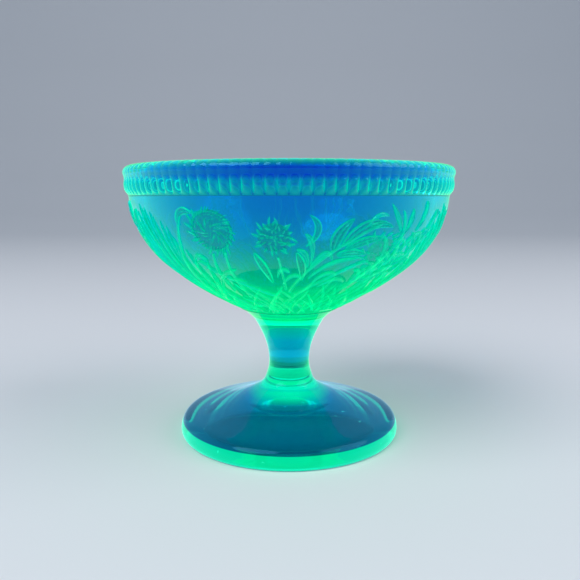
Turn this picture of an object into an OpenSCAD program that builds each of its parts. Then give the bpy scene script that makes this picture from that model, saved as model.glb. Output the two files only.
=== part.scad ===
// Footed glass dish: a flared bowl with a fluted rim band and raised flowers and leaves,
// on a waisted stem and a round foot. All sizes are in millimetres. +Z is up, the origin is
// the middle of the foot's resting plane, and the bowl's pattern faces -Y.

/* [Overall] */
// Diameter across the rim, over the flutes
rim_d = 110; // [104:1:116]
// Height from the table to the top of the lip
dish_h = 91.5; // [88:0.5:96]
// Diameter of the foot
foot_d = 76; // [70:1:82]

/* [Rim] */
// Number of flutes round the rim band
flute_count = 108; // [72:12:120]
// Height of the fluted band
band_h = 7.4; // [5:0.2:9]
// Height of the smooth rounded lip above the flutes
lip_h = 2; // [1.6:0.1:2.6]
// How far the flutes stand out of the wall
flute_depth = 0.8; // [0.5:0.1:1]
// Inside diameter of the mouth
mouth_d = 98.6; // [96:0.2:99]

/* [Stem and foot] */
// Diameter of the stem at its waist
waist_d = 14; // [12:0.5:16]
// Height of the joint between foot and stem
stem_low = 20; // [18:0.5:22]
// Height of the joint between stem and bowl
stem_high = 41; // [40:0.5:42]
// Diameter of the joint between stem and bowl
seat_d = 26.2; // [25:0.2:27]
// Thickness of the foot's rounded edge
edge_h = 3.8; // [3:0.1:4.4]
// Width of the ring that the dish stands on
rest_w = 3; // [2:0.2:4]
// Height of the hollow under the foot
hollow_h = 9; // [6:0.5:9]

/* [Raised pattern] */
// Number of times the pattern repeats round the bowl
repeats = 3; // [2:1:3]
// Height of the leaves and stalks above the wall
relief_h = 0.7; // [0.4:0.1:0.9]
// Radius of the round seed-head flower
seed_head_r = 6.6; // [5:0.2:7]
// Radius of the ragged bloom
bloom_r = 6; // [5:0.2:6.4]

/* [Hidden] */

rim_r = rim_d / 2;
lip_z = dish_h - lip_h;
band_z = lip_z - band_h;
mouth_r = mouth_d / 2;
band_r = rim_r - 1.7;
seat_r = seat_d / 2;
floor_z = stem_high + 5.6;
foot_r = foot_d / 2;
edge_r = edge_h / 2;
neck_r = waist_d / 2 + 0.9;

// Outside of the bowl: [height, radius] from the stem joint to the flutes.
rise = band_z - stem_high;
wall = [for (p = [
        [0, seat_r / band_r], [0.025, 0.27], [0.075, 0.325], [0.125, 0.388], [0.17, 0.45],
        [0.22, 0.516], [0.27, 0.578], [0.32, 0.635], [0.37, 0.688], [0.42, 0.736],
        [0.47, 0.779], [0.52, 0.817], [0.57, 0.85], [0.62, 0.879], [0.67, 0.904],
        [0.73, 0.931], [0.79, 0.953], [0.86, 0.974], [0.93, 0.989], [1, 1]])
    [stem_high + rise * p[0], band_r * p[1]]];

// Inside of the bowl: [height, radius] from the floor's middle to the mouth.
cavity_rise = lip_z - floor_z;
cavity = [for (p = [
        [0, 0], [0.008, 0.13], [0.035, 0.25], [0.075, 0.36], [0.125, 0.46], [0.18, 0.553],
        [0.24, 0.642], [0.3, 0.718], [0.37, 0.793], [0.44, 0.852], [0.52, 0.901],
        [0.61, 0.941], [0.71, 0.969], [0.83, 0.989], [1, 1]])
    [floor_z + cavity_rise * p[0], mouth_r * p[1]]];

function wall_r(z) = lookup(z, wall);
function wall_slope(z) = (wall_r(z + 0.6) - wall_r(z - 0.6)) / 1.2;

// A point on the bowl: azimuth from the front, height, and height above the glass.
function on_wall(at, up = 0) =
    let (slope = wall_slope(at[1]), k = sqrt(1 + slope * slope))
    let (r = wall_r(at[1]) + up / k, z = at[1] - up * slope / k)
    [r * sin(at[0]), -r * cos(at[0]), z];

// Quadratic curve through a start, a control point and an end, and its direction.
function bend(p, t) = (1 - t) * (1 - t) * p[0] + 2 * t * (1 - t) * p[1] + t * t * p[2];
function heading(p, t) = 2 * (1 - t) * (p[1] - p[0]) + 2 * t * (p[2] - p[1]);

// Millimetres on the glass for one degree round and for one millimetre of height.
function per_degree(z) = wall_r(z) * PI / 180;
function per_height(z) = sqrt(1 + pow(wall_slope(z), 2));

// A point a given distance to the left (-) or right (+) of a curve on the bowl.
function beside(p, t, off) =
    let (c = bend(p, t), d = heading(p, t), a = per_degree(c[1]), b = per_height(c[1]))
    let (len = norm([d[0] * a, d[1] * b]))
    [c[0] + off * d[1] * b / (len * a), c[1] - off * d[0] * a / (len * b)];

// Half width of a blade at t: 0 and 1 are its ends, peak is where it is widest.
function leaf_width(t, peak) = pow(sin(180 * pow(t, ln(0.5) / ln(peak))), 0.8);

// A raised blade along a curve on the bowl, with flat skirts and a ridged top.
module blade(p, width, high = relief_h, peak = 0.5, tip = 0.12, steps = 6) {
    cut = 0.03;
    rings = [for (i = [0:steps]) let (t = cut + (1 - 2 * cut) * i / steps,
            w = width * (tip + (1 - tip) * leaf_width(t, peak)) / 2)
        [on_wall(beside(p, t, -w)), on_wall(beside(p, t, -w * 0.5), high),
            on_wall(beside(p, t, w * 0.5), high), on_wall(beside(p, t, w))]];
    points = [for (ring = rings, q = ring) q];
    sides = [for (i = [0:steps - 1], k = [0:3]) let (a = 4 * i + k, b = 4 * i + (k + 1) % 4)
        each [[a, b, b + 4], [a, b + 4, a + 4]]];
    last = 4 * steps;
    polyhedron(points, concat([[3, 2, 1, 0]], sides, [[last, last + 1, last + 2, last + 3]]));
}

// A low round boss on the bowl, such as a flower head seen from the front.
module boss(at, radius, high, sides = 18) {
    a = per_degree(at[1]);
    b = per_height(at[1]);
    function rim_point(k, r, up) =
        on_wall([at[0] + r * sin(360 * k / sides) / a, at[1] + r * cos(360 * k / sides) / b], up);
    loop = [0:sides - 1];
    points = concat([for (k = loop) rim_point(k, radius, 0)],
        [for (k = loop) rim_point(k, radius * 0.84, high)],
        [on_wall(at, high * 1.15), on_wall(at, 0)]);
    top = 2 * sides;
    polyhedron(points, [for (k = loop) let (n = (k + 1) % sides)
        each [[k, sides + k, sides + n], [k, sides + n, n], [sides + k, top, sides + n],
            [k, n, top + 1]]]);
}

// Repeats its children round the bowl.
module around() {
    for (i = [0:repeats - 1])
        rotate(360 / repeats * i)
            children();
}

// Main wall of the bowl, from the stem joint to the foot of the flutes.
module bowl() {
    color([0.05, 0.72, 0.62, 0.6])
        difference() {
            rotate_extrude($fn = 180)
                polygon(concat([[0, stem_high]], [for (p = wall) [p[1], p[0]]], [[0, band_z]]));
            cavity_space();
        }
}

// The space inside the bowl, up to the lip.
module cavity_space() {
    rotate_extrude($fn = 180)
        polygon(concat([for (p = cavity) [p[1], p[0]]], [[0, lip_z]]));
}

// Ring of rounded vertical flutes under the lip. It widens with the wall towards the lip.
module fluted_band() {
    points_per_flute = 4;
    n = flute_count * points_per_flute;
    root = band_r - flute_depth * 0.6;
    color([0.1, 0.8, 0.75, 0.6])
        difference() {
            translate([0, 0, band_z])
                linear_extrude(band_h, scale = (rim_r - 0.2) / (root + flute_depth))
                    polygon([for (i = [0:n - 1])
                        let (a = 360 * i / n, r = root + flute_depth * abs(sin(a * flute_count / 2)))
                        [r * cos(a), r * sin(a)]]);
            cavity_space();
        }
}

// Rounded lip on top of the flutes.
module lip() {
    mid_r = (rim_r + mouth_r) / 2;
    half_w = (rim_r - mouth_r) / 2;
    color([0.15, 0.85, 0.8, 0.6])
        rotate_extrude($fn = 180)
            polygon([for (a = [0:12:180]) [mid_r + half_w * cos(a), lip_z + lip_h * sin(a)]]);
}

// Solid waisted stem between the foot and the bowl.
module stem() {
    waist = waist_d / 2;
    tall = stem_high - stem_low;
    color([0.05, 0.6, 0.55, 0.7])
        rotate_extrude($fn = 120)
            polygon([[0, stem_low], [neck_r, stem_low], [waist + 0.3, stem_low + 0.1 * tall],
                [waist, stem_low + 0.24 * tall], [waist + 0.1, stem_low + 0.36 * tall],
                [waist + 0.65, stem_low + 0.5 * tall], [waist + 1.6, stem_low + 0.64 * tall],
                [waist + 2.8, stem_low + 0.76 * tall], [waist + 4, stem_low + 0.87 * tall],
                [waist + 5.1, stem_low + 0.95 * tall], [seat_r, stem_high], [0, stem_high]]);
}

// Domed glass disc that spreads from the stem to the edge ring.
module foot() {
    join_r = foot_r - rest_w - edge_r;
    span = join_r - neck_r;
    color([0.05, 0.6, 0.5, 0.7])
        difference() {
            rotate_extrude($fn = 120)
                polygon(concat([[0, 0], [join_r, 0], [join_r, edge_h]],
                    [for (t = [0.15, 0.3, 0.45, 0.6, 0.72, 0.81, 0.88, 0.93, 0.97])
                        [join_r - span * t, edge_h + (stem_low - edge_h) * foot_rise(t)]],
                    [[neck_r, stem_low], [0, stem_low]]));
            hollow_space();
        }
}

// Share of the foot's height at t, from its edge (0) to the stem (1).
function foot_rise(t) = 1.1 * t - 0.35 * t * t + 0.25 * pow(t, 20);

// Dome-shaped hollow under the foot, just inside the flat resting ring.
module hollow_space() {
    hollow_r = foot_r - rest_w - edge_r - 0.5;
    dome_r = (hollow_r * hollow_r + hollow_h * hollow_h) / (2 * hollow_h);
    translate([0, 0, hollow_h - dome_r])
        sphere(dome_r, $fn = 240);
}

// Rounded ring round the foot, with the flat face that the dish stands on.
module foot_edge() {
    inner = foot_r - rest_w - edge_r;
    color([0.05, 0.95, 0.5, 0.7])
        rotate_extrude($fn = 120)
            polygon(concat([[inner, 0]],
                [for (a = [-90:15:90]) [foot_r - edge_r + edge_r * cos(a), edge_r + edge_r * sin(a)]],
                [[inner, edge_h]]));
}

// Round flower heads, seen from the front.
module seed_heads() {
    color([0.1, 0.95, 0.6])
        around()
            boss([-24.5, 72.6], seed_head_r, relief_h * 0.9);
}

// Cushion in the middle of each ragged bloom.
module blooms() {
    color([0.1, 0.95, 0.6])
        around()
            boss([-4.5, 71], bloom_r * 0.42, relief_h * 1.1, 12);
}

// Petals round each ragged bloom.
module bloom_petals() {
    petals = 9;
    centre = [-4.5, 71];
    a = per_degree(centre[1]);
    b = per_height(centre[1]);
    function reach(k, r) = centre + r * [sin(360 * k / petals) / a, cos(360 * k / petals) / b];
    color([0.1, 1, 0.65])
        around()
            for (k = [0:petals - 1])
                blade([reach(k, bloom_r * 0.46), reach(k + 0.1, bloom_r * 0.72), reach(k, bloom_r)],
                    bloom_r * 0.4, peak = 0.6, steps = 3);
}

// Club-shaped, spindle-shaped and hooked flower buds.
module buds() {
    color([0.1, 0.95, 0.6])
        around() {
            blade([[-6.6, 57.6], [-8.4, 62], [-11.4, 66.4]], 2.6, relief_h * 1.15, 0.7);
            blade([[5, 58.4], [5.6, 62.4], [2.6, 66.4]], 2.4, relief_h * 1.15, 0.35);
            blade([[-36.6, 74.4], [-35.6, 78.8], [-30.6, 77]], 2.4, relief_h, 0.65);
        }
}

// Trumpet-shaped buds with two pointed lobes.
module tulip_buds() {
    color([0.1, 0.95, 0.6])
        around() {
            blade([[39.2, 71.6], [36.6, 74.8], [31.4, 79.6]], 2.2, relief_h, 0.35);
            blade([[40.4, 71.8], [42.6, 74.4], [41.4, 78]], 2.4, relief_h, 0.4);
        }
}

// Thin stalks that carry the flowers and leaves.
module stalks() {
    color([0.1, 0.85, 0.5])
        around() {
            blade([[-50, 51], [-42.6, 62], [-37.4, 73.4]], 1.1, tip = 0.7);
            blade([[-1.4, 55.4], [-2.4, 60], [-3.2, 63.6]], 1.1, tip = 0.7, steps = 4);
            blade([[0.4, 54.4], [10, 67], [29, 74.2]], 1.2, tip = 0.7);
            blade([[27, 56], [34, 62], [39, 70.6]], 1.2, tip = 0.7);
            blade([[-29, 54], [-29.4, 60], [-26.6, 65]], 1.1, tip = 0.7, steps = 4);
        }
}

// Pairs of leaflets along the long side stalk.
module feather_leaves() {
    pairs = 4;
    stalk = [[0.4, 54.4], [10, 67], [29, 74.2]];
    color([0.1, 0.9, 0.55])
        around() {
            for (k = [0:pairs - 1], side = [-1, 1]) {
                t = 0.52 + 0.12 * k;
                blade([beside(stalk, t, side * 0.8), beside(stalk, t + 0.09, side * 3.4),
                    beside(stalk, t + 0.17, side * (5.2 - 0.5 * k))], 1.9, steps = 4);
            }
            blade([[29.4, 74.4], [31.4, 75.6], [33, 75.2]], 2, steps = 4);
        }
}

// Curled and forked leaves between the flowers.
module curled_leaves() {
    color([0.1, 0.9, 0.55])
        around() {
            blade([[7, 67.6], [13, 74], [4.2, 76]], 2.6, peak = 0.4);
            blade([[5.6, 65.6], [9.6, 68.6], [12, 66.4]], 2, steps = 5);
            blade([[-4.4, 59.4], [-3.4, 63.4], [0.2, 61]], 1.8, steps = 5);
            blade([[-35, 54], [-29, 60], [-20.4, 61.4]], 2, peak = 0.6);
            blade([[-37.4, 62.6], [-34.4, 67], [-31, 63.8]], 1.6, steps = 5);
            blade([[7.8, 59], [14, 64.8], [23.4, 64.6]], 1.7);
            blade([[10, 58], [14.4, 61.6], [18.6, 60]], 1.7, steps = 5);
            blade([[33.4, 62], [36, 68], [32, 71]], 2.4, steps = 5);
            blade([[38, 62], [42.6, 66], [47, 65]], 2.6, steps = 5);
            blade([[41.4, 65.6], [45, 71], [50.4, 71.4]], 2.4, steps = 5);
        }
}

// Tufts of long grass blades that sweep up the side of the bowl.
module grass_blades() {
    color([0.1, 0.9, 0.5])
        around() {
            blade([[-52, 49.4], [-47, 64], [-50.4, 77.4]], 1.9, peak = 0.35);
            blade([[-54.6, 49.8], [-51, 66], [-57, 79.6]], 2, peak = 0.35);
            blade([[-57.4, 50.4], [-55.6, 62], [-62, 74.6]], 2, peak = 0.35);
            blade([[-48.6, 50], [-42.4, 60], [-42.4, 70.4]], 1.8, peak = 0.35);
        }
}

// Overlapping long leaves that wrap the bottom of the bowl.
module base_leaves() {
    per_repeat = 8;
    step = 360 / repeats / per_repeat;
    color([0.1, 0.9, 0.5])
        around()
            for (k = [0:per_repeat - 1]) {
                a = -56 + step * k;
                blade([[a, 43.6], [a + 7, 48.4], [a + 9, 54.4 - 2 * (k % 2)]], 3.2,
                    relief_h * 0.8, 0.45, steps = 4);
            }
}

bowl();
fluted_band();
lip();
stem();
foot();
foot_edge();
seed_heads();
blooms();
bloom_petals();
buds();
tulip_buds();
stalks();
feather_leaves();
curled_leaves();
grass_blades();
base_leaves();
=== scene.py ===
"""Footed dish of fluorescent pressed glass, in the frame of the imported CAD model."""

import math
import random

import bpy
import numpy as np
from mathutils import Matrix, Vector


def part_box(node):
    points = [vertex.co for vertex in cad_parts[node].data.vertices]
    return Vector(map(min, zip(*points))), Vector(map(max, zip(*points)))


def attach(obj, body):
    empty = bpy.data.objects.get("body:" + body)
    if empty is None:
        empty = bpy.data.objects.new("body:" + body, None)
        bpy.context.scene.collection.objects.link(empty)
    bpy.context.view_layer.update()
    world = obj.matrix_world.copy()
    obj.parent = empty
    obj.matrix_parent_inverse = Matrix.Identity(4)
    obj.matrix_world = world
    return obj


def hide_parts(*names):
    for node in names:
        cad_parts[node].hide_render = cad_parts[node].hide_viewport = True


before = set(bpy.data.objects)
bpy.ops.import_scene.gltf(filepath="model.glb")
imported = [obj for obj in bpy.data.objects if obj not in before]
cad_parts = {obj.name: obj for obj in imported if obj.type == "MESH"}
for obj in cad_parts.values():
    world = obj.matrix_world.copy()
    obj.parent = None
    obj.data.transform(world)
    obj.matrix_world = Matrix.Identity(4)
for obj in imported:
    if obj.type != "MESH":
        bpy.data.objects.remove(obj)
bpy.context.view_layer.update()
random.seed(7)

MM = 0.001
FLUTES = 108
REPEATS = 3         # times that the raised pattern goes round the bowl
SINK = 0.12         # how far raised glass reaches into the wall, in millimetres
SUNK_WIDTH = 0.96   # width of a stroke's sunken side, as a share of its width on the wall
THIN_HEIGHT = 0.25  # height of a stroke where it narrows to nothing, as a share of its full height


# ---------------------------------------------------------------- outlines, in millimetres
def top_of(node):
    """Height of a CAD node's top, to a tenth of a millimetre."""
    return round(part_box(node)[1].z / MM, 1)


NECK = top_of("foot")       # where the foot meets the stem
SEAT = top_of("stem")       # where the stem meets the bowl
SEAM = top_of("bowl")       # where the bowl meets the rim


def smooth(points, per_span=6):
    """A Catmull-Rom curve through the points, end points kept."""
    p = np.array(points, float)
    p = np.vstack([2 * p[0] - p[1], p, 2 * p[-1] - p[-2]])
    out = []
    for i in range(1, len(p) - 2):
        for k in range(per_span):
            t = k / per_span
            out.append(0.5 * (2 * p[i] + (p[i + 1] - p[i - 1]) * t
                              + (2 * p[i - 1] - 5 * p[i] + 4 * p[i + 1] - p[i + 2]) * t ** 2
                              + (3 * p[i] - p[i - 1] - 3 * p[i + 1] + p[i + 2]) * t ** 3))
    out.append(p[-2])
    return np.array(out)


# Each outline point is a radius and a height.
WALL = smooth([(13.1, SEAT), (14.2, 42.03), (16.8, 44.08), (20, 46.14), (23.2, 47.99),
               (26.9, 50.04), (30.3, 52.1), (33.4, 54.15), (36.3, 56.21), (39, 58.26),
               (41.4, 60.32), (43.5, 62.37), (45.31, 64.43), (46.85, 66.48), (48.18, 68.54),
               (49.62, 71), (50.79, 73.47), (51.8, 76.35), (52.5, 79.22), (52.9, SEAM)])
CAVITY = smooth([(0, 46.6), (6.41, 46.94), (12.33, 48.1), (17.75, 49.82), (22.68, 51.96),
                 (27.26, 54.32), (31.65, 56.9), (35.4, 59.47), (39.09, 62.47), (42, 65.48),
                 (44.42, 68.91), (46.39, 72.77), (47.77, 77.06), (48.75, SEAM)])
STEM = smooth([(7.9, NECK), (7.28, 22), (7.01, 24), (7.03, 26), (7.25, 28), (7.61, 30),
               (8.22, 32), (8.97, 34), (9.91, 36), (10.9, 38), (12.1, 40), (13.1, SEAT)])
FOOT_TOP = smooth([(7.9, NECK), (8.3, 18.8), (9.1, 17.4), (10.4, 16.1), (12.5, 14.8), (16, 13),
                   (20, 11.3), (24, 9.9), (28, 8.8), (32, 7.8), (34.6, 7.1), (36.1, 6.4), (37, 5.5),
                   (37.5, 4.5), (37.8, 3.5), (38, 2.2), (37.8, 0.9), (37.2, 0.15), (36.1, 0)])
FOOT_UNDER = smooth([(33.1, 0), (32.2, 0.5), (30, 1.5), (26, 3.2), (21, 5.2), (15, 7.3), (10, 8.6),
                     (5, 9.4), (0, 9.7)])
# The rim's section also says how far the flutes stand out at each point.
RIM = smooth([(52.9, SEAM, 0), (53, 82.5, 0.25), (53.1, 83, 0.7), (53.25, 83.7, 1.05),
              (53.45, 84.8, 1.1), (53.65, 85.9, 0.85), (53.8, 86.6, 0.4), (54, 87.6, 0.08),
              (54.3, 88.8, 0.12), (54.25, 89.6, 0.14), (53.8, 90.4, 0.2), (53, 91, 0.22),
              (52, 91.35, 0.18), (51.1, 91.3, 0.1), (50.3, 90.8, 0.04), (49.65, 90, 0),
              (49.3, 89.1, 0), (49.1, 87, 0), (48.9, 84.6, 0), (48.75, SEAM, 0)], 4)
FLUTE_POWER = 0.8   # below 1, so that the flutes are broader than half a sine wave
FLUTE_INSIDE = 0.35     # share of a flute's depth that lies inside the section's line
SCALLOP = 0.3       # rise and fall of the lip, as a share of the flutes' depth there
SCALLOP_FROM = 90.2     # height above which the lip rises and falls
FULL_GLOW = 0.8     # depth of flute at which its ridge glows fully


def wall_r(z):
    """Outside radius of the bowl at a height."""
    return float(np.interp(z, WALL[:, 1], WALL[:, 0]))


def wall_slope(z):
    """How much the radius grows per millimetre of height."""
    return wall_r(z + 0.5) - wall_r(z - 0.5)


def on_wall(azimuth, z, up=0.0):
    """A point on the bowl: azimuth from the front in degrees, height, and height above the glass."""
    slope = wall_slope(z)
    k = math.hypot(1, slope)
    r, a = wall_r(z) + up / k, math.radians(azimuth)
    return (r * math.sin(a), -r * math.cos(a), z - up * slope / k)


def wall_scale(z):
    """Millimetres on the glass per degree of azimuth and per millimetre of height."""
    return wall_r(z) * math.pi / 180, math.hypot(1, wall_slope(z))


# ---------------------------------------------------------------- meshes
def piece(name, verts, faces, nodes, material, glow=None, crease=40, plain=None):
    """A closed smooth mesh from millimetre points, riding on the body. Where plain(centre, normal)
    is true, the surface is clear glass with almost no glow."""
    mesh = bpy.data.meshes.new(name)
    mesh.from_pydata([tuple(c * MM for c in v) for v in verts], [], faces)
    mesh.validate()
    if glow is not None:
        layer = mesh.attributes.new("glow", "FLOAT", "POINT")
        layer.data.foreach_set("value", glow)
    mesh.polygons.foreach_set("use_smooth", [True] * len(mesh.polygons))
    mesh.set_sharp_from_angle(angle=math.radians(crease))
    mesh.materials.append(material)
    if plain is not None:
        mesh.materials.append(clear_glass)
        for polygon in mesh.polygons:
            if plain(polygon.center / MM, polygon.normal):
                polygon.material_index = 1
    obj = bpy.data.objects.new(name, mesh)
    bpy.context.collection.objects.link(obj)
    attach(obj, "root")
    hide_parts(*nodes)


def lathe(profile, sides):
    """Points and faces of a body of revolution: the profile runs up the outside, counter-clockwise."""
    verts, rings, faces = [], [], []
    for r, z in profile:
        if r < 1e-6:
            rings.append([len(verts)])
            verts.append((0, 0, z))
        else:
            rings.append(list(range(len(verts), len(verts) + sides)))
            for k in range(sides):
                a = 2 * math.pi * k / sides
                verts.append((r * math.cos(a), r * math.sin(a), z))
    for a, b in zip(rings, rings[1:] + rings[:1]):
        if len(a) == 1 and len(b) == 1:
            continue
        for k in range(sides):
            n = (k + 1) % sides
            if len(a) == 1:
                faces.append((a[0], b[n], b[k]))
            elif len(b) == 1:
                faces.append((a[k], a[n], b[0]))
            else:
                faces.append((a[k], a[n], b[n], b[k]))
    return verts, faces


def fluted_ring(profile, sides_per_flute=10):
    """Points, faces and glow of the rim: a closed section whose outside carries the flutes."""
    n, m = FLUTES * sides_per_flute, len(profile)
    verts, glow, faces = [], [], []
    for k in range(n):
        a = 2 * math.pi * k / n
        top = abs(math.sin(a * FLUTES / 2)) ** FLUTE_POWER
        for r, z, out in profile:
            rr = r + out * (top - FLUTE_INSIDE)
            zz = z + (SCALLOP * out * (top - 0.5) if z > SCALLOP_FROM else 0)
            verts.append((rr * math.cos(a), rr * math.sin(a), zz))
            glow.append(0.1 + 0.9 * top * min(1, out / FULL_GLOW))
    for k in range(n):
        here, there = k * m, (k + 1) % n * m
        for i in range(m):
            j = (i + 1) % m
            faces.append((here + i, there + i, there + j, here + j))
    return verts, faces, glow


# ---------------------------------------------------------------- materials
class Glass:
    """A glass material. Each step adds a node to it and gives the node's output for the next."""

    def __init__(self, name, settings):
        self.material = bpy.data.materials.new(name)
        self.material.use_nodes = True
        tree = self.material.node_tree
        self.new, self.link = tree.nodes.new, tree.links.new
        self.surface = tree.nodes["Principled BSDF"].inputs
        self.surface["Transmission Weight"].default_value = 1
        self.surface["Emission Strength"].default_value = 1
        for socket, value in settings.items():
            self.surface[socket].default_value = value
        self.place = self.new("ShaderNodeTexCoord").outputs["Object"]

    def height(self):
        split = self.new("ShaderNodeSeparateXYZ")
        self.link(self.place, split.inputs[0])
        return split.outputs["Z"]

    def streaked_place(self):
        """The place drawn out upwards, for streaks."""
        stretch = self.new("ShaderNodeMapping")
        stretch.inputs["Scale"].default_value = (1, 1, 0.25)
        self.link(self.place, stretch.inputs[0])
        return stretch.outputs[0]

    def noise(self, scale, detail=2, place=None):
        node = self.new("ShaderNodeTexNoise")
        node.inputs["Scale"].default_value = scale
        node.inputs["Detail"].default_value = detail
        self.link(place or self.place, node.inputs["Vector"])
        return node.outputs["Fac"]

    def remap(self, value, low, high, new_low=0, new_high=1):
        node = self.new("ShaderNodeMapRange")
        for socket, number in (("From Min", low), ("From Max", high),
                               ("To Min", new_low), ("To Max", new_high)):
            node.inputs[socket].default_value = number
        self.link(value, node.inputs["Value"])
        return node.outputs[0]

    def total(self, a, b, clamp=False):
        node = self.new("ShaderNodeMath")
        node.operation = "ADD"
        node.use_clamp = clamp
        self.link(a, node.inputs[0])
        self.link(b, node.inputs[1])
        return node.outputs[0]

    def ramp(self, value, places, colours):
        """Colours at places from 0 to 1, blended between them."""
        node = self.new("ShaderNodeValToRGB")
        marks = node.color_ramp.elements
        for k, place in enumerate(places):
            mark = marks[k] if k < 2 else marks.new(place)
            mark.position = place
        for mark, colour in zip(sorted(marks, key=lambda m: m.position), colours):
            mark.color = (*colour, 1)
        self.link(value, node.inputs["Fac"])
        return node.outputs["Color"]

    def mix(self, factor, a, b, kind="MIX"):
        """Two colours mixed, or with kind ADD the second added to the first. Each is a colour or an
        output."""
        node = self.new("ShaderNodeMix")
        node.data_type = "RGBA"
        node.blend_type = kind
        for socket, colour in (("A", a), ("B", b)):
            if isinstance(colour, tuple):
                node.inputs[socket].default_value = (*colour, 1)
            else:
                self.link(colour, node.inputs[socket])
        self.link(factor, node.inputs["Factor"])
        return node.outputs["Result"]

    def raised_lines(self):
        """The mesh's own glow value: 1 on raised lines and edges."""
        node = self.new("ShaderNodeAttribute")
        node.attribute_name = "glow"
        return node.outputs["Fac"]

    def bump(self, value, strength, distance):
        node = self.new("ShaderNodeBump")
        node.inputs["Strength"].default_value = strength
        node.inputs["Distance"].default_value = distance
        self.link(value, node.inputs["Height"])
        self.link(node.outputs[0], self.surface["Normal"])


def body_glass(name, stops, drift, edge=(0.0, 0.4, 0.26), edge_blend=0.18, ridges=(0.0, 0.0, 0.0),
               glow_specks=0.0, bend=1.5):
    """Fluorescent glass. Each stop is a height in mm, a tint and a glow, and faint streaks shift the
    heights by up to drift. Edge is extra glow at grazing angles, ridges is extra glow on raised
    flutes, glow_specks sets the strength of small bright specks of painted glow, and bend is the
    refractive index."""
    glass = Glass(name, {"Roughness": 0.02, "IOR": bend, "Specular IOR Level": 0.2,
                         "Specular Tint": (0.1, 0.6, 1, 1)})
    low, high = stops[0][0], stops[-1][0]
    share = drift / (high - low)
    streaks = glass.noise(120, 3, glass.streaked_place())
    height = glass.total(glass.remap(glass.height(), low * MM, high * MM),
                         glass.remap(streaks, 0, 1, -share, share))
    places = [(stop[0] - low) / (high - low) for stop in stops]
    glass.link(glass.ramp(height, places, [stop[1] for stop in stops]), glass.surface["Base Color"])
    glow = glass.ramp(height, places, [stop[2] for stop in stops])
    facing = glass.new("ShaderNodeLayerWeight")
    facing.inputs["Blend"].default_value = edge_blend
    glow = glass.mix(facing.outputs["Facing"], glow, edge, "ADD")
    glow = glass.mix(glass.raised_lines(), glow, ridges, "ADD")
    # Small bright specks of painted glow: emission added where the fine noise peaks.
    marks = glass.remap(glass.noise(420, 4), 0.7, 0.76, 0, glow_specks)
    glow = glass.mix(marks, glow, (0.05, 0.6, 0.5), "ADD")
    glass.link(glow, glass.surface["Emission Color"])
    glass.bump(glass.noise(260), 0.05, 0.0004)
    return glass.material


def raised_glass(name, tint, dim, low_glow, high_glow, low=52, high=74):
    """Softer glass of the raised pattern: lines and edges glow, with one colour below the low height
    and another above the high one, and hollows between them stay dim."""
    glass = Glass(name, {"Base Color": (*tint, 1), "Roughness": 0.12, "IOR": 1.5,
                         "Specular IOR Level": 0.3, "Specular Tint": (0.1, 0.8, 1, 1)})
    grain = glass.noise(700)
    uneven = glass.new("ShaderNodeMath")
    uneven.operation = "MULTIPLY_ADD"
    uneven.inputs[1].default_value = 0.5
    uneven.inputs[2].default_value = -0.25
    glass.link(grain, uneven.inputs[0])
    level = glass.total(glass.raised_lines(), uneven.outputs[0], clamp=True)
    lines = glass.mix(glass.remap(glass.height(), low * MM, high * MM), low_glow, high_glow)
    glass.link(glass.mix(level, dim, lines), glass.surface["Emission Color"])
    glass.bump(grain, 0.15, 0.0002)
    return glass.material


clear_glass = body_glass("clear_glass", [
    (0, (0.0, 0.34, 0.45), (0.0, 0.01, 0.015)),
    (90, (0.0, 0.4, 0.55), (0.0, 0.01, 0.015))], drift=1, edge=(0.0, 0.05, 0.05))
bowl_glass = body_glass("bowl_glass", [
    (41, (0.0, 0.46, 0.3), (0.0, 0.06, 0.03)),
    (50, (0.0, 0.42, 0.32), (0.0, 0.04, 0.03)),
    (58, (0.0, 0.38, 0.44), (0.0, 0.035, 0.04)),
    (68, (0.0, 0.38, 0.64), (0.0, 0.04, 0.07)),
    (82.2, (0.0, 0.36, 0.7), (0.0, 0.035, 0.09))], drift=1.5, edge=(0.0, 0.75, 0.14))
rim_glass = body_glass("rim_glass", [
    (82, (0.0, 0.34, 0.56), (0.0, 0.03, 0.045)),
    (85.5, (0.0, 0.26, 0.56), (0.0, 0.02, 0.06)),
    (87.2, (0.0, 0.1, 0.66), (0.0, 0.0, 0.09)),
    (89.2, (0.0, 0.1, 0.66), (0.0, 0.0, 0.08)),
    (90, (0.0, 0.2, 0.6), (0.0, 0.01, 0.08)),
    (91.5, (0.0, 0.22, 0.6), (0.0, 0.01, 0.08))], drift=0.3, edge=(0.0, 1.15, 0.2),
    ridges=(0.0, 0.08, 0.04))
stem_glass = body_glass("stem_glass", [
    (20, (0.0, 0.38, 0.26), (0.0, 0.02, 0.012)),
    (25, (0.0, 0.38, 0.3), (0.0, 0.02, 0.015)),
    (25.8, (0.0, 0.44, 0.62), (0.0, 0.06, 0.09)),
    (33, (0.0, 0.46, 0.66), (0.0, 0.07, 0.11)),
    (37.5, (0.0, 0.5, 0.46), (0.0, 0.1, 0.08)),
    (41, (0.0, 0.55, 0.36), (0.0, 0.12, 0.05))], drift=0.3, edge=(0.0, 1.6, 0.7), edge_blend=0.08)
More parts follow.
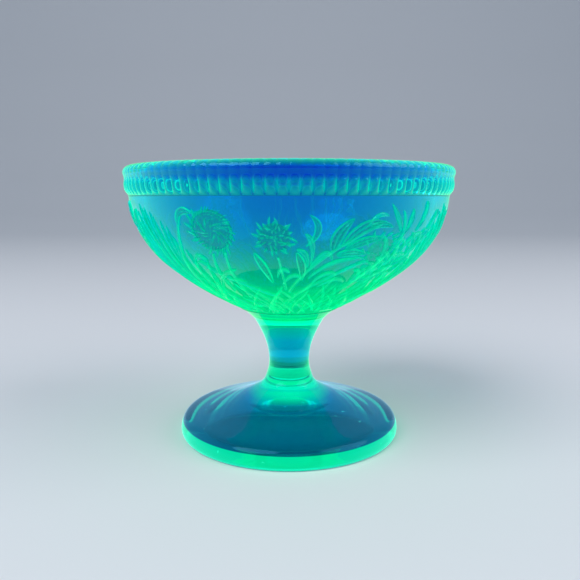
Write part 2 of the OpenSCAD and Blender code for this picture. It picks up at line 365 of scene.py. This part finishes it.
# The foot bends light less than real glass, whose index is about 1.5. This is for looks: at 1.5 the
# hollow under it showed as an oval ring with bright edges.
foot_glass = body_glass("foot_glass", [
    (0, (0.0, 0.2, 0.28), (0.0, 0.02, 0.025)),
    (10, (0.0, 0.2, 0.33), (0.0, 0.02, 0.04)),
    (13.4, (0.0, 0.24, 0.44), (0.0, 0.03, 0.06)),
    (15.2, (0.0, 0.4, 0.36), (0.0, 0.2, 0.08)),
    (18.5, (0.0, 0.5, 0.34), (0.0, 0.26, 0.09)),
    (20, (0.0, 0.45, 0.32), (0.0, 0.16, 0.06))], drift=0.2, edge=(0.0, 0.5, 0.9), edge_blend=0.06,
    ridges=(0.0, 0.62, 0.17), glow_specks=0.6, bend=1.38)
relief_glass = raised_glass("relief_glass", tint=(0.0, 0.62, 0.5), dim=(0.0, 0.02, 0.02),
                            low_glow=(0.0, 0.36, 0.12), high_glow=(0.0, 0.25, 0.15))


# ---------------------------------------------------------------- the glass body
EDGE_R = 37.4       # outside this radius the foot's edge glows
HOLLOW_R = 33.2     # just outside the hollow under the foot
PATCH_R = 14        # radius of the soft glow at the top of the hollow
PATCH_LOW, PATCH_HIGH = 8, 12       # heights between which that glow lies


def bowl_joint(at, normal):
    """The flat faces where the bowl meets the rim and the stem."""
    return abs(normal.z) > 0.99 and (at.z > SEAM - 0.1 or at.z < SEAT + 0.1)


def rim_joint(at, normal):
    """The rim's underside."""
    return normal.z < -0.8 and at.z < SEAM + 0.3


def hollow_side(at, normal):
    """The sides of the hollow under the foot."""
    return normal.z < 0 and PATCH_R < math.hypot(at.x, at.y) < HOLLOW_R


def foot_glow(x, y, z):
    """Full at the foot's edge, and soft at the top of the hollow."""
    r = math.hypot(x, y)
    if r > EDGE_R:
        return 1.0
    return 0.8 * max(0, 1 - r / PATCH_R) if PATCH_LOW < z < PATCH_HIGH else 0


verts, faces = lathe([(0, SEAT), *WALL, *CAVITY[::-1]], 256)
piece("glass_bowl", verts, faces, ["bowl"], bowl_glass, plain=bowl_joint)
verts, faces, glow = fluted_ring(RIM)
piece("fluted_rim", verts, faces, ["fluted_band", "lip"], rim_glass, glow,
      plain=rim_joint)
verts, faces = lathe([(0, NECK), *STEM, (0, SEAT)], 160)
piece("glass_stem", verts, faces, ["stem"], stem_glass)
verts, faces = lathe([*FOOT_UNDER[::-1], *FOOT_TOP[::-1], (0, NECK)], 256)
piece("glass_foot", verts, faces, ["foot", "foot_edge"], foot_glass,
      [foot_glow(*v) for v in verts], plain=hollow_side)


# ---------------------------------------------------------------- sections of raised strokes
def ridge(u, at, width):
    return math.exp(-((u - at) / width) ** 2)


def arch(u):
    return math.sqrt(max(0, 1 - u * u))


# Each gives a height and a glow, both up to 1, at u from edge to edge and t along the stroke.
def plain_section(u, t):
    return arch(u), 0.0


def round_section(u, t):
    lift = arch(u)
    return lift, 0.3 + 0.7 * lift


def leaf_section(u, t):
    """Raised edges and midrib, with slanting veins between them."""
    edge = ridge(abs(u), 0.82, 0.16)
    rib = ridge(u, 0, 0.16)
    vein = max(0, math.cos(2 * math.pi * (t * 8 - abs(u) * 0.9))) ** 3
    line = max(edge, rib, 0.75 * vein)
    return 0.35 + 0.65 * line, 0.12 + 0.88 * line


def blade_section(u, t):
    """Two rounded halves with a groove between them."""
    lift = arch(u) * (1 - 0.55 * ridge(u, 0.05, 0.22))
    return lift, 0.2 + 0.8 * lift


def bead_section(u, t):
    """Rows of small seeds inside a raised edge."""
    edge = ridge(abs(u), 0.8, 0.2)
    seed = max(0, math.cos(2 * math.pi * t * 11)) * max(0, math.cos(u * math.pi * 2.4))
    line = max(edge, seed)
    return 0.4 + 0.6 * line, 0.32 + 0.68 * line


# ---------------------------------------------------------------- raised pattern
class Strokes:
    """Collects raised strokes on the bowl into one set of points, faces and glow values."""
    turn = 0        # azimuth of the repeat being made, in degrees

    def __init__(self):
        self.verts, self.faces, self.glow = [], [], []

    def add(self, path, widths, high, section=round_section, closed=False, across=7, bright=1.0):
        """One stroke along (azimuth, height) points, with its width at each point."""
        n = len(path)
        path = [(a + self.turn, z) for a, z in path]
        first = len(self.verts)
        ring = across + 2
        for i, (a, z) in enumerate(path):
            before = path[(i - 1) % n] if closed or i else path[0]
            after = path[(i + 1) % n] if closed or i < n - 1 else path[-1]
            per_a, per_z = wall_scale(z)
            dx, dy = (after[0] - before[0]) * per_a, (after[1] - before[1]) * per_z
            size = math.hypot(dx, dy) or 1
            side = (dy / size / per_a, -dx / size / per_z)
            w = widths[i] / 2
            top = high * min(1.0, THIN_HEIGHT + 1.5 * w / (max(widths) / 2))
            for k in range(across):
                u = -1 + 2 * k / (across - 1)
                lift, shine = section(u, i / max(1, n - 1))
                up = top * lift if abs(u) < 0.999 else 0.0
                self.verts.append(on_wall(a + side[0] * w * u, z + side[1] * w * u, up))
                self.glow.append(shine * bright)
            for u in (SUNK_WIDTH, -SUNK_WIDTH):
                self.verts.append(on_wall(a + side[0] * w * u, z + side[1] * w * u, -SINK))
                self.glow.append(0.1)
        for i in range(n if closed else n - 1):
            here, there = first + i * ring, first + (i + 1) % n * ring
            for k in range(ring):
                m = (k + 1) % ring
                self.faces.append((here + k, here + m, there + m, there + k))
        if not closed:
            self.faces.append(tuple(first + k for k in range(ring))[::-1])
            self.faces.append(tuple(first + (n - 1) * ring + k for k in range(ring)))

    def leaves(self, outlines, high, section, steps, peak, tip=0.06, across=7, bright=1.0):
        """A tapering stroke for each start, point to bend towards, end and width."""
        for start, towards, end, width in outlines:
            self.add(curve(start, towards, end, steps), leaf_widths(width, steps, peak, tip), high,
                     section, across=across, bright=bright)

    def dome(self, at, radius, high, shine, sides=48, rings=8):
        """A low round cushion."""
        first = len(self.verts)
        per_a, per_z = wall_scale(at[1])

        def put(r, k, up):
            a = 2 * math.pi * k / sides
            self.verts.append(on_wall(at[0] + self.turn + r * math.sin(a) / per_a,
                                      at[1] + r * math.cos(a) / per_z, up))
            self.glow.append(shine)

        for j in range(rings):
            r = radius * (1 - j / rings)
            for k in range(sides):
                put(r, k, high * (1 - (r / radius) ** 4))
        put(0, 0, high)
        put(0, 0, -SINK)
        top, under = first + rings * sides, first + rings * sides + 1
        inner = first + (rings - 1) * sides
        for k in range(sides):
            m = (k + 1) % sides
            for j in range(rings - 1):
                a, b = first + j * sides, first + (j + 1) * sides
                self.faces.append((a + k, b + k, b + m, a + m))
            self.faces.append((inner + k, top, inner + m))
            self.faces.append((first + m, under, first + k))

    def build(self, node):
        piece("raised_" + node, self.verts, self.faces, [node], relief_glass,
              self.glow, crease=50)


def curve(start, towards, end, steps=16):
    """Points of the curve from start to end that bends towards a third point."""
    out = []
    for i in range(steps + 1):
        t = i / steps
        out.append(tuple((1 - t) ** 2 * start[k] + 2 * t * (1 - t) * towards[k] + t * t * end[k]
                         for k in (0, 1)))
    return out


def leaf_widths(width, steps=16, peak=0.45, tip=0.06):
    """Widths of a leaf, widest at peak of its length and narrowed to the share tip at its ends."""
    power = math.log(0.5) / math.log(peak)
    return [width * (tip + (1 - tip) * math.sin(math.pi * (i / steps) ** power) ** 0.85)
            for i in range(steps + 1)]


def taper(start, end, steps=16):
    return [start + (end - start) * i / steps for i in range(steps + 1)]


def spoke(at, angle, r0, r1, lean=0.0):
    """A short path away from a centre, in millimetres on the glass."""
    per_a, per_z = wall_scale(at[1])
    out = []
    for i in range(5):
        r, a = r0 + (r1 - r0) * i / 4, angle + lean * i / 4
        out.append((at[0] + r * math.sin(a) / per_a, at[1] + r * math.cos(a) / per_z))
    return out


def around(count, wobble=0.0, start=0.0):
    """Angles evenly round a circle, each moved by up to wobble."""
    for i in range(count):
        yield 2 * math.pi * (i + start) / count + (random.uniform(-wobble, wobble) if wobble else 0)


def seed_head(at=(-24.5, 72.6)):
    """Round head: a cushion, dashes along two circles, a fringe, a swirl inside, pointed sepals."""
    heads.dome(at, 6.4, 0.26, shine=0.17)
    for radius, count, width in ((4.9, 26, 0.3), (5.9, 30, 0.34)):
        for a in around(count, 0.04):
            heads.add(spoke(at, a, radius, radius, 4.6 / count), leaf_widths(width, 4), 0.5,
                      across=5, bright=0.75)
    for a in around(44, 0.05):
        inner = 5.4 + random.uniform(-0.2, 0.3)
        outer = 6.6 + random.uniform(-0.3, 0.7)
        heads.add(spoke(at, a, inner, outer, 0.12), taper(0.32, 0.14, 4), 0.55, across=5, bright=0.75)
    for a in around(30, 0.1):
        inner = random.uniform(0.4, 3)
        outer = min(4.6, inner + random.uniform(0.8, 2.2))
        heads.add(spoke(at, a, inner, outer, random.uniform(0.1, 0.6)), taper(0.3, 0.14, 4), 0.45,
                  across=5, bright=0.75)
    for a in (-2.1, -1.75, -1.45, -1.1, -0.8, 2.5, 2.8, -2.85, 3.1, 3.45):
        outer = 8.4 + random.uniform(-0.5, 0.5)
        heads.add(spoke(at, a, 5.9, outer, 0.16), leaf_widths(0.62, 4), 0.6, blade_section, bright=0.75)


def ragged_bloom(at=(-4.5, 71)):
    """Small drops in rings, with a ring of longer petals outside."""
    blooms.dome(at, 4.4, 0.25, shine=0.17)
    for count, inner, outer, width in ((5, 0.2, 1.3, 0.5), (9, 1.4, 2.5, 0.5), (13, 2.5, 3.9, 0.55)):
        for a in around(count, 0.15, 0.5 * (count % 2)):
            end = outer + random.uniform(-0.2, 0.3)
            blooms.add(spoke(at, a, inner, end, random.uniform(-0.5, 0.5)), leaf_widths(width, 4),
                       0.55, across=5, bright=0.75)
    for i, a in enumerate(around(20, 0.08)):
        end = 5.4 + 0.9 * (i % 2) + random.uniform(-0.3, 0.3)
        petals.add(spoke(at, a, 3.7, end, random.uniform(-0.3, 0.3)), leaf_widths(0.75, 4), 0.6,
                   blade_section, bright=0.8)


def lacy_head(at=(33, 66.5)):
    """Many short dashes in a loose round patch, with thin petals round it."""
    blooms.dome(at, 4.6, 0.22, shine=0.32)
    for i in range(44):
        a = random.uniform(0, 2 * math.pi)
        r = 5.6 * math.sqrt(random.random())
        dash = spoke(at, a, r, r)[0]
        blooms.add(spoke(dash, a + random.uniform(-0.7, 0.7), -0.45, 0.55), leaf_widths(0.42, 4),
                   0.55, across=5, bright=0.75)
    for i, a in enumerate(around(16)):
        petals.add(spoke(at, a, 5.2, 7 + 0.8 * (i % 3), 0.25), leaf_widths(0.6, 4), 0.6, bright=0.8)


def seeded_buds():
    """A club, a spindle and a hooked bud, and a crescent above the spindle, with seeds inside."""
    buds.leaves((((-6.6, 57.6), (-8.4, 62), (-11.4, 66.6), 2.3),
                 ((5, 58.4), (5.6, 62.4), (2.6, 66.8), 2.5),
                 ((-36.6, 73.8), (-35.8, 79.4), (-30.4, 77.4), 2.4)),
                0.75, bead_section, 30, 0.6, 0.2, across=13)
    buds.leaves((((5.4, 68.6), (11.8, 73.6), (6, 77), 2),), 0.7, bead_section, 26, 0.55, across=13)


def trumpet_buds():
    """Three buds on a stem of their own."""
    tulips.leaves((((39.2, 71), (36.8, 74.8), (32, 79.8), 1.7),
                   ((40.2, 71.2), (42.4, 74.4), (41.6, 78.4), 1.7)),
                  0.8, blade_section, 16, 0.6, bright=0.7)
    tulips.leaves((((39.8, 71.2), (39.6, 75), (37.2, 78), 1.1),), 0.6, round_section, 16, 0.5)
    tulips.add(curve((39.6, 64), (40.6, 68), (39.8, 71.6)), taper(0.6, 1.1), 0.7)


def thin_stalks():
    for start, towards, end, low_width, high_width in (
            ((-50, 51), (-42.6, 62), (-36.8, 74), 1, 0.6),
            ((-22, 52), (-23.6, 60), (-21.6, 66.6), 0.9, 0.6),
            ((-1.4, 55.4), (-2.4, 60), (-3.6, 65.4), 0.9, 0.6),
            ((0.4, 54.4), (10, 67), (29, 74.2), 1.1, 0.7),
            ((3, 53), (17, 60), (28, 64), 1, 0.6),
            ((27, 55), (34, 62), (39.8, 70.6), 1.1, 0.7),
            ((-29, 54), (-29.4, 60), (-26.6, 66), 0.9, 0.6),
            ((-8, 53), (-20, 56), (-33, 62), 0.9, 0.6)):
        stalks.add(curve(start, towards, end, 24), taper(low_width, high_width, 24), 0.65)


def feathered_leaves():
    """A large leaf and smaller ones on both sides of the long stalk."""
    feathers.leaves((((14.6, 67), (14, 72.6), (19.6, 76), 3.4),
                     ((17.2, 68.4), (22.6, 75.4), (30.4, 75), 3.3),
                     ((18.6, 67.6), (24.6, 70.6), (31.6, 70.8), 2.5),
                     ((16, 66), (21, 67.4), (27, 66.2), 2.3),
                     ((25.4, 73.4), (29.4, 75.4), (34.4, 73.4), 2)),
                    0.75, leaf_section, 40, 0.42, across=17, bright=0.75)


def curled_leaves():
    """Curled, forked and long leaves."""
    curls.leaves((((7.6, 63.6), (8.6, 70), (5, 72), 1.8),
                  ((6.6, 62.6), (6.6, 67), (2.6, 67.8), 1.8),
                  ((7.6, 62.8), (12.6, 69.4), (15, 64.6), 1.7),
                  ((-4.4, 59.4), (-3.4, 63.4), (0.2, 61), 1.6),
                  ((-2.6, 57), (1.2, 61.4), (4.6, 59.4), 1.6),
                  ((-35, 54), (-29, 60), (-20.4, 61.4), 1.8),
                  ((-27.4, 57.4), (-24, 59.2), (-18.6, 57.2), 1.5),
                  ((-37.4, 62.6), (-34.4, 67.4), (-30.6, 63.6), 1.5),
                  ((-38.4, 61.4), (-33.6, 65.4), (-31.6, 61.4), 1.2),
                  ((7.8, 59), (14, 65), (24, 64.8), 1.5),
                  ((10, 58), (14.4, 61.8), (19, 60), 1.6),
                  ((13, 56), (18, 60), (24.6, 57.4), 1.6),
                  ((33.4, 62), (36, 68), (32, 71), 1.6),
                  ((38, 62), (42.6, 66), (47, 65), 1.7),
                  ((41.4, 65.6), (45, 71), (50.4, 71.4), 1.8),
                  ((42, 61), (49, 64), (53, 70.6), 1.8),
                  ((30, 57), (38, 58.6), (44, 62), 1.7),
                  ((24, 73.6), (27, 78), (31.4, 76.6), 1.4),
                  ((46, 72), (49.6, 76), (48.4, 80.4), 1.5),
                  ((52, 68), (54.6, 74), (57.6, 78), 1.6)),
                 0.7, blade_section, 20, 0.62, 0.22, across=9)


def crowded_leaves(count=34, start=27, spread=25):
    """Small curled leaves beside the lacy head, reaching higher to the right."""
    for i in range(count):
        a = start + spread * (i + 0.5) / count
        z = random.uniform(55.5, 60 + 0.42 * (a - start))
        lean = random.choice((-1, 1)) * random.uniform(2, 5)
        bend_z = z + random.uniform(2.5, 4.5)
        path = curve((a, z), (a + 0.2 * lean, bend_z), (a + lean, z + random.uniform(2.6, 4.4)), 12)
        curls.add(path, leaf_widths(random.uniform(1, 1.5), 12, 0.66, 0.3), 0.7, blade_section,
                  across=9)


def grass_tuft():
    """A tuft of long blades."""
    grass.leaves((((-52, 49.4), (-47, 64), (-50.4, 77.4), 1.2),
                  ((-54.6, 49.8), (-51, 66), (-57, 79.6), 1.2),
                  ((-57.4, 50.4), (-55.6, 62), (-62.6, 74.6), 1.1),
                  ((-48.6, 50), (-41.4, 60), (-41.6, 70.4), 1.1),
                  ((-50.4, 50.6), (-44, 62), (-45.4, 75), 0.8),
                  ((-53.4, 50.6), (-49, 66), (-53.8, 78.6), 0.8),
                  ((-56, 51), (-53, 64), (-60, 77.4), 0.8),
                  ((-60, 51.4), (-59, 60), (-67, 70), 1),
                  ((-46.6, 50), (-38, 56), (-37, 64), 1),
                  ((-62, 52), (-62, 58), (-70.6, 66), 0.9),
                  ((-44.6, 50.6), (-36, 53), (-32.6, 59), 0.9),
                  ((-47, 52), (-42, 63), (-43, 73.4), 0.9),
                  ((-51, 52), (-47.4, 65), (-49, 76), 0.8),
                  ((-55, 54), (-52, 66), (-55.6, 78), 1),
                  ((-42, 52), (-35.6, 58), (-38.6, 67), 1),
                  ((-58.6, 52), (-57, 62), (-64.6, 72), 0.9),
                  ((-40, 53), (-33, 57), (-31, 64), 0.9)),
                 0.75, blade_section, 30, 0.4, across=9)


def bottom_leaves(count=54):
    """Overlapping long leaves round the bottom of the bowl, of mixed lengths."""
    for k in range(count):
        a = 120 * k / count - 60 + random.uniform(-1, 1)
        lean = random.choice((-1, 1)) * random.uniform(5, 15)
        low = 44.4 + random.uniform(0, 1.6)
        top = 59.5 - 9.5 * (k * 7 % count) / count
        width = random.uniform(0.8, 1.7)
        base.add(curve((a, low), (a + lean * 0.75, low + 4), (a + lean * 1.5, top), 18),
                 leaf_widths(width, 18, 0.5, 0.12), random.uniform(0.45, 0.85), blade_section,
                 across=9)


def plain_ring(z=44.1, sides=120):
    """The ring above the stem at which the pattern stops."""
    base.add([(360 * k / sides, z) for k in range(sides)], [0.7] * sides, 0.3, plain_section,
             closed=True)


heads, blooms, petals, buds, tulips = (Strokes() for i in range(5))
stalks, feathers, curls, grass, base = (Strokes() for i in range(5))
for sector in range(REPEATS):
    Strokes.turn = 360 // REPEATS * sector
    seed_head()
    ragged_bloom()
    lacy_head()
    seeded_buds()
    trumpet_buds()
    thin_stalks()
    feathered_leaves()
    curled_leaves()
    crowded_leaves()
    grass_tuft()
    bottom_leaves()
Strokes.turn = 0
plain_ring()

for strokes, node in ((heads, "seed_heads"), (blooms, "blooms"), (petals, "bloom_petals"),
                      (buds, "buds"), (tulips, "tulip_buds"), (stalks, "stalks"),
                      (feathers, "feather_leaves"), (curls, "curled_leaves"),
                      (grass, "grass_blades"), (base, "base_leaves")):
    strokes.build(node)


# ---------------------------------------------------------------- stage, light and camera
FLOOR_COLOUR = (0.72, 0.74, 0.77)
# The floor runs back and curves up into a backdrop: each point is a depth and a height in metres.
SWEEP = [(-3, 0), (1.1, 0), (1.4, 0.03), (1.7, 0.13), (1.95, 0.3), (2.15, 0.55), (2.25, 0.9), (2.3, 3)]
HALF_WIDTH = 4


def make_floor():
    mesh = bpy.data.meshes.new("floor")
    mesh.from_pydata([(x, y, z) for y, z in SWEEP for x in (-HALF_WIDTH, HALF_WIDTH)], [],
                     [(2 * k, 2 * k + 1, 2 * k + 3, 2 * k + 2) for k in range(len(SWEEP) - 1)])
    mat = bpy.data.materials.new("floor")
    mat.use_nodes = True
    surface = mat.node_tree.nodes["Principled BSDF"].inputs
    surface["Base Color"].default_value = (*FLOOR_COLOUR, 1)
    surface["Roughness"].default_value = 0.8
    mesh.materials.append(mat)
    mesh.polygons.foreach_set("use_smooth", [True] * len(mesh.polygons))
    obj = bpy.data.objects.new("floor", mesh)
    bpy.context.collection.objects.link(obj)


def soft_light(name, place, size, power):
    """A round lamp aimed at the middle of the dish."""
    lamp = bpy.data.lights.new(name, "AREA")
    lamp.shape = "DISK"
    lamp.size = size
    lamp.energy = power
    obj = bpy.data.objects.new(name, lamp)
    obj.location = place
    aim = Vector((0, 0, 0.05)) - Vector(place)
    obj.rotation_euler = aim.to_track_quat("-Z", "Y").to_euler()
    bpy.context.collection.objects.link(obj)


make_floor()
soft_light("key_light", (-0.6, -0.6, 1), 0.9, 9)
soft_light("fill_light", (0.8, -0.3, 0.7), 0.9, 4.5)

scene = bpy.context.scene
scene.world = bpy.data.worlds.new("studio")
scene.world.use_nodes = True
air = scene.world.node_tree.nodes["Background"].inputs
air["Color"].default_value = (0.62, 0.7, 0.82, 1)
air["Strength"].default_value = 0.55
scene.view_settings.view_transform = "Standard"

camera = bpy.data.cameras.new("camera")
camera.sensor_width = 36
camera.lens = 38.36
camera.clip_start = 0.01
view = bpy.data.objects.new("camera", camera)
view.location = (0.0003, -0.2122, 0.0822)
view.rotation_euler = (math.radians(81.23), 0, 0)
bpy.context.collection.objects.link(view)
scene.camera = view

bpy.context.view_layer.update()
